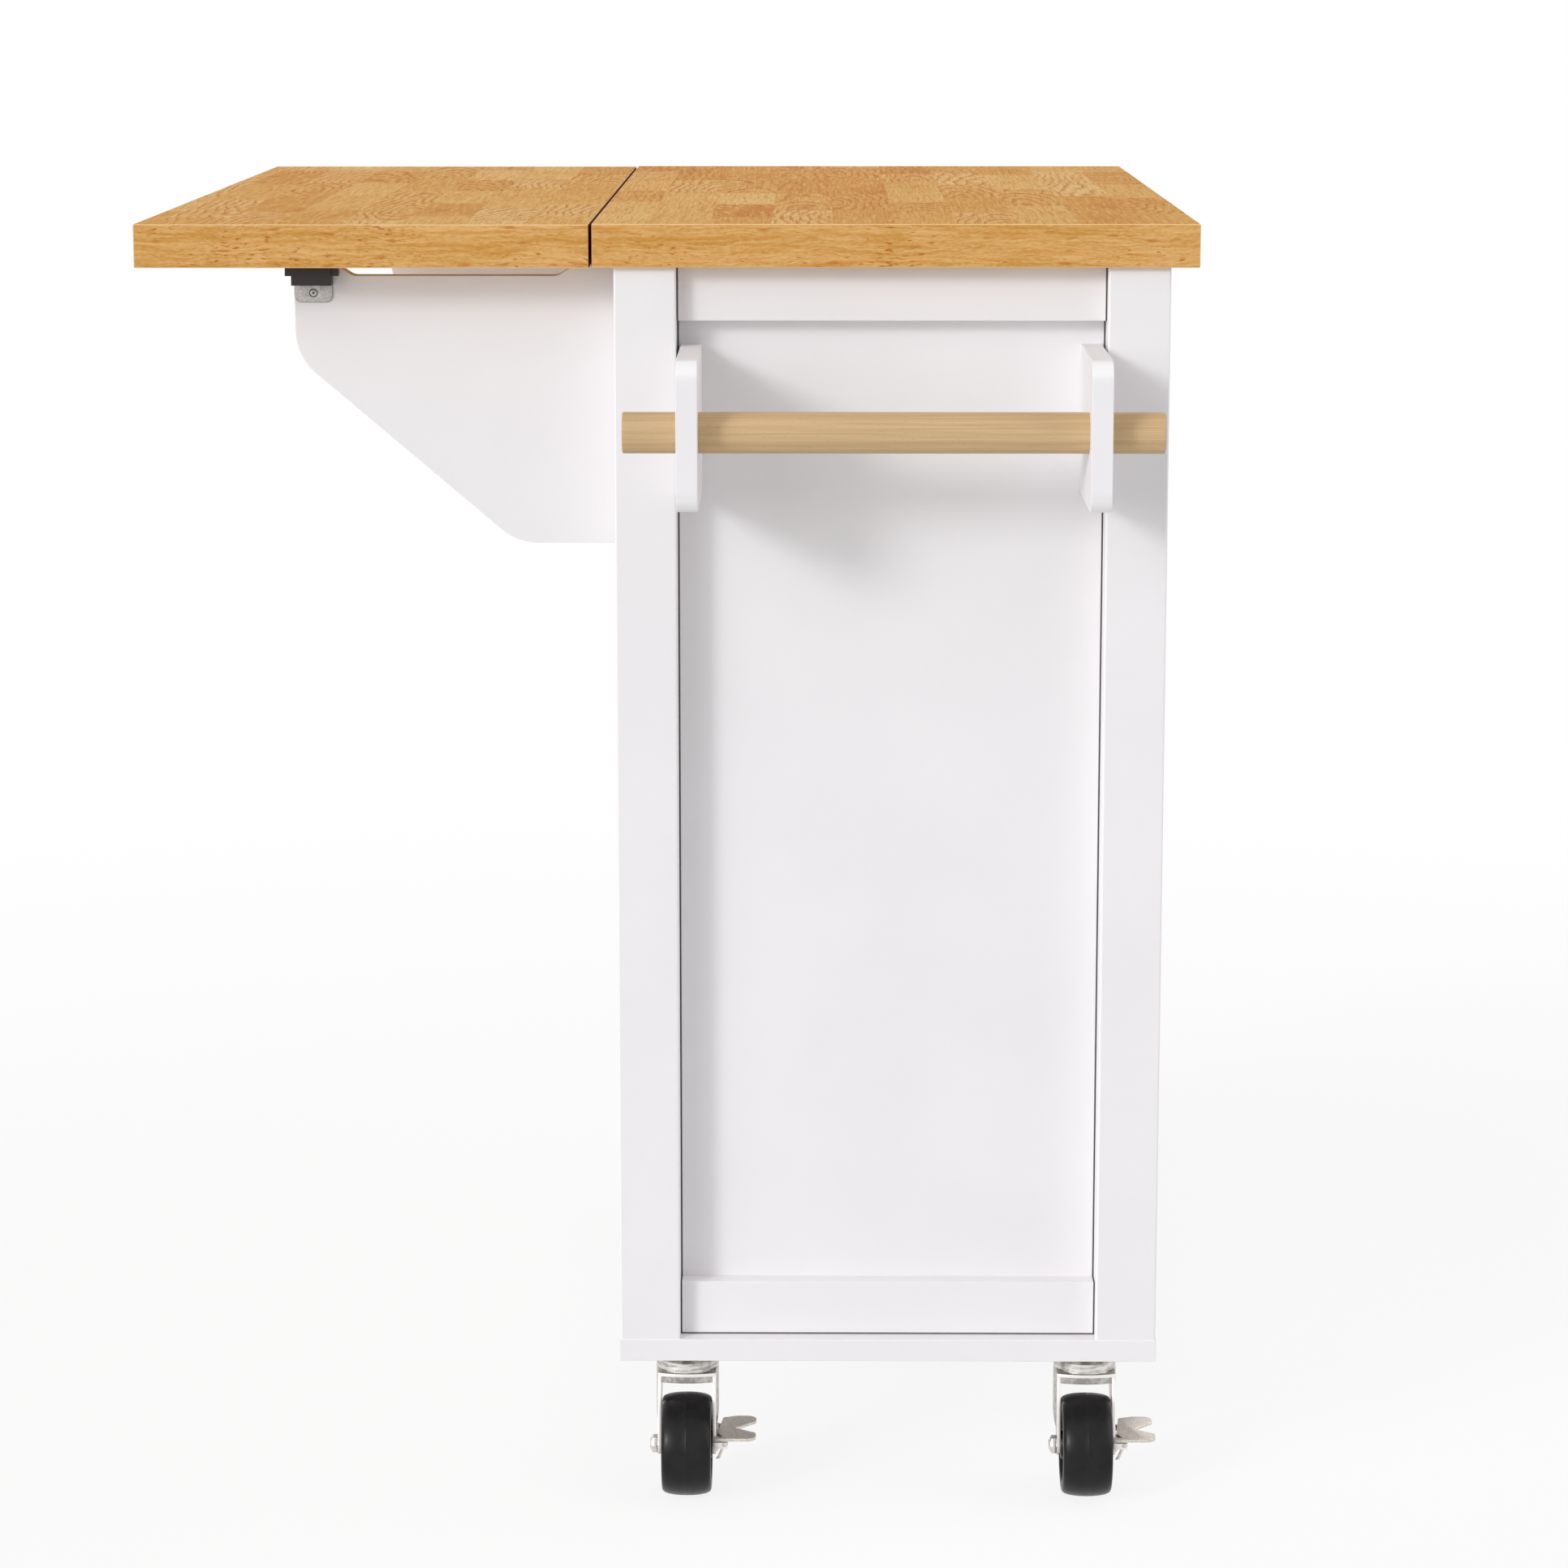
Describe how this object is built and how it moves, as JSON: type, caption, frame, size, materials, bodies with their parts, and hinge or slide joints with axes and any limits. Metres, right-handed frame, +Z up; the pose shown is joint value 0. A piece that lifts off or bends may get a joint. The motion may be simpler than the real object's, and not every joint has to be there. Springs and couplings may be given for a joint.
{
  "type": "kitchen island cart",
  "caption": "Rolling kitchen island cart: wooden top with a drop leaf on swing-out brackets, white cupboard with doors and drawer, towel rail, braked swivel casters.",
  "frame": {"origin": "on the floor, under the middle of the overall footprint at rest, leaf up and brackets out", "axes": "+Z up; +X towards the front, with the doors and the drawer; the leaf stands out at -X; -Y is the left end, with the towel rail"},
  "size_m": [0.7326, 0.899, 0.928],
  "materials": {
    "worktop_wood": "oiled rubberwood staves, satin",
    "white_paint": "white satin paint on fibreboard",
    "drawer_wood": "clear-lacquered plywood",
    "bar_wood": "turned dowel, satin",
    "zinc_steel": "zinc plated",
    "nickel": "nickel plated",
    "black_plastic": "black moulded plastic",
    "caster_black": "black moulded wheel, slight sheen"
  },
  "bodies": {
    "root": {"main_top": "worktop_wood", "base_board": "white_paint", "left_back_post": "white_paint", "left_front_post": "white_paint", "right_back_post": "white_paint", "right_front_post": "white_paint", "left_end_panel": "white_paint", "right_end_panel": "white_paint", "left_end_rails": "white_paint", "right_end_rails": "white_paint", "back_panel": "white_paint", "back_bottom_rail": "white_paint", "front_top_rail": "white_paint", "front_drawer_rail": "white_paint", "front_bottom_rail": "white_paint", "shelf": "white_paint", "shelf_pins": "zinc_steel", "drawer_runners": "zinc_steel", "back_towel_arm": "white_paint", "front_towel_arm": "white_paint", "towel_bar": "bar_wood", "wood_screws": "zinc_steel", "leaf_hinge_plates": "zinc_steel", "bracket_hinge_plates": "zinc_steel", "door_pivot_pins": "zinc_steel", "caster_plates": "nickel"},
    "leaf": {"drop_leaf": "worktop_wood", "leaf_hinge_flaps": "zinc_steel", "leaf_catches": "black_plastic"},
    "left_bracket": {"left_support_bracket": "white_paint", "left_bracket_hinge_flaps": "zinc_steel", "left_strike_plate": "zinc_steel"},
    "right_bracket": {"right_support_bracket": "white_paint", "right_bracket_hinge_flaps": "zinc_steel", "right_strike_plate": "zinc_steel"},
    "left_door": {"left_door": "white_paint", "left_door_knob": "nickel", "left_door_bushes": "zinc_steel"},
    "right_door": {"right_door": "white_paint", "right_door_knob": "nickel", "right_door_bushes": "zinc_steel"},
    "drawer": {"drawer_front": "white_paint", "drawer_box": "drawer_wood", "drawer_bottom": "drawer_wood", "drawer_knobs": "nickel", "drawer_slides": "zinc_steel"},
    "back_left_swivel": {"back_left_caster_fork": "nickel", "back_left_caster_axle": "nickel"},
    "back_left_wheel": {"back_left_caster_wheel": "caster_black"},
    "back_left_pedal": {"back_left_brake_pedal": "nickel"},
    "front_left_swivel": {"front_left_caster_fork": "nickel", "front_left_caster_axle": "nickel"},
    "front_left_wheel": {"front_left_caster_wheel": "caster_black"},
    "front_left_pedal": {"front_left_brake_pedal": "nickel"},
    "back_right_swivel": {"back_right_caster_fork": "nickel", "back_right_caster_axle": "nickel"},
    "back_right_wheel": {"back_right_caster_wheel": "caster_black"},
    "front_right_swivel": {"front_right_caster_fork": "nickel", "front_right_caster_axle": "nickel"},
    "front_right_wheel": {"front_right_caster_wheel": "caster_black"}
  },
  "joints": [
    {"name": "leaf_hinge", "type": "hinge", "parent": "root", "child": "leaf", "pos_m": [-0.0525, 0.0495, 0.8947], "axis": [0, 1, 0], "range_deg": [0, 2]},
    {"name": "left_bracket_swing", "type": "hinge", "parent": "root", "child": "left_bracket", "pos_m": [-0.0181, -0.2822, 0.7407], "axis": [0, 0, -1], "range_deg": [0, 90]},
    {"name": "right_bracket_swing", "type": "hinge", "parent": "root", "child": "right_bracket", "pos_m": [-0.0181, 0.3812, 0.7407], "axis": [0, 0, 1], "range_deg": [0, 90]},
    {"name": "left_door_hinge", "type": "hinge", "parent": "root", "child": "left_door", "pos_m": [0.3411, -0.2943, 0.1708], "axis": [0, 0, -1], "range_deg": [0, 105]},
    {"name": "right_door_hinge", "type": "hinge", "parent": "root", "child": "right_door", "pos_m": [0.3411, 0.3933, 0.1708], "axis": [0, 0, 1], "range_deg": [0, 105]},
    {"name": "drawer_slide", "type": "slide", "parent": "root", "child": "drawer", "axis": [1, 0, 0], "range_m": [0, 0.24]},
    {"name": "back_left_swivel", "type": "hinge", "parent": "root", "child": "back_left_swivel", "pos_m": [0.0096, -0.2825, 0.1025], "axis": [0, 0, 1], "continuous": true},
    {"name": "back_left_wheel_spin", "type": "hinge", "parent": "back_left_swivel", "child": "back_left_wheel", "pos_m": [0.0096, -0.3055, 0.0375], "axis": [1, 0, 0], "continuous": true},
    {"name": "back_left_brake", "type": "hinge", "parent": "back_left_swivel", "child": "back_left_pedal", "pos_m": [0.0368, -0.2855, 0.0406], "axis": [0, 1, 0], "range_deg": [0, 12]},
    {"name": "front_left_swivel", "type": "hinge", "parent": "root", "child": "front_left_swivel", "pos_m": [0.3006, -0.2825, 0.1025], "axis": [0, 0, 1], "continuous": true},
    {"name": "front_left_wheel_spin", "type": "hinge", "parent": "front_left_swivel", "child": "front_left_wheel", "pos_m": [0.3006, -0.3055, 0.0375], "axis": [1, 0, 0], "continuous": true},
    {"name": "front_left_brake", "type": "hinge", "parent": "front_left_swivel", "child": "front_left_pedal", "pos_m": [0.3278, -0.2855, 0.0406], "axis": [0, 1, 0], "range_deg": [0, 12]},
    {"name": "back_right_swivel", "type": "hinge", "parent": "root", "child": "back_right_swivel", "pos_m": [0.0096, 0.3815, 0.1025], "axis": [0, 0, 1], "continuous": true},
    {"name": "back_right_wheel_spin", "type": "hinge", "parent": "back_right_swivel", "child": "back_right_wheel", "pos_m": [0.0096, 0.3585, 0.0375], "axis": [1, 0, 0], "continuous": true},
    {"name": "front_right_swivel", "type": "hinge", "parent": "root", "child": "front_right_swivel", "pos_m": [0.3006, 0.3815, 0.1025], "axis": [0, 0, 1], "continuous": true},
    {"name": "front_right_wheel_spin", "type": "hinge", "parent": "front_right_swivel", "child": "front_right_wheel", "pos_m": [0.3006, 0.3585, 0.0375], "axis": [1, 0, 0], "continuous": true}
  ]
}
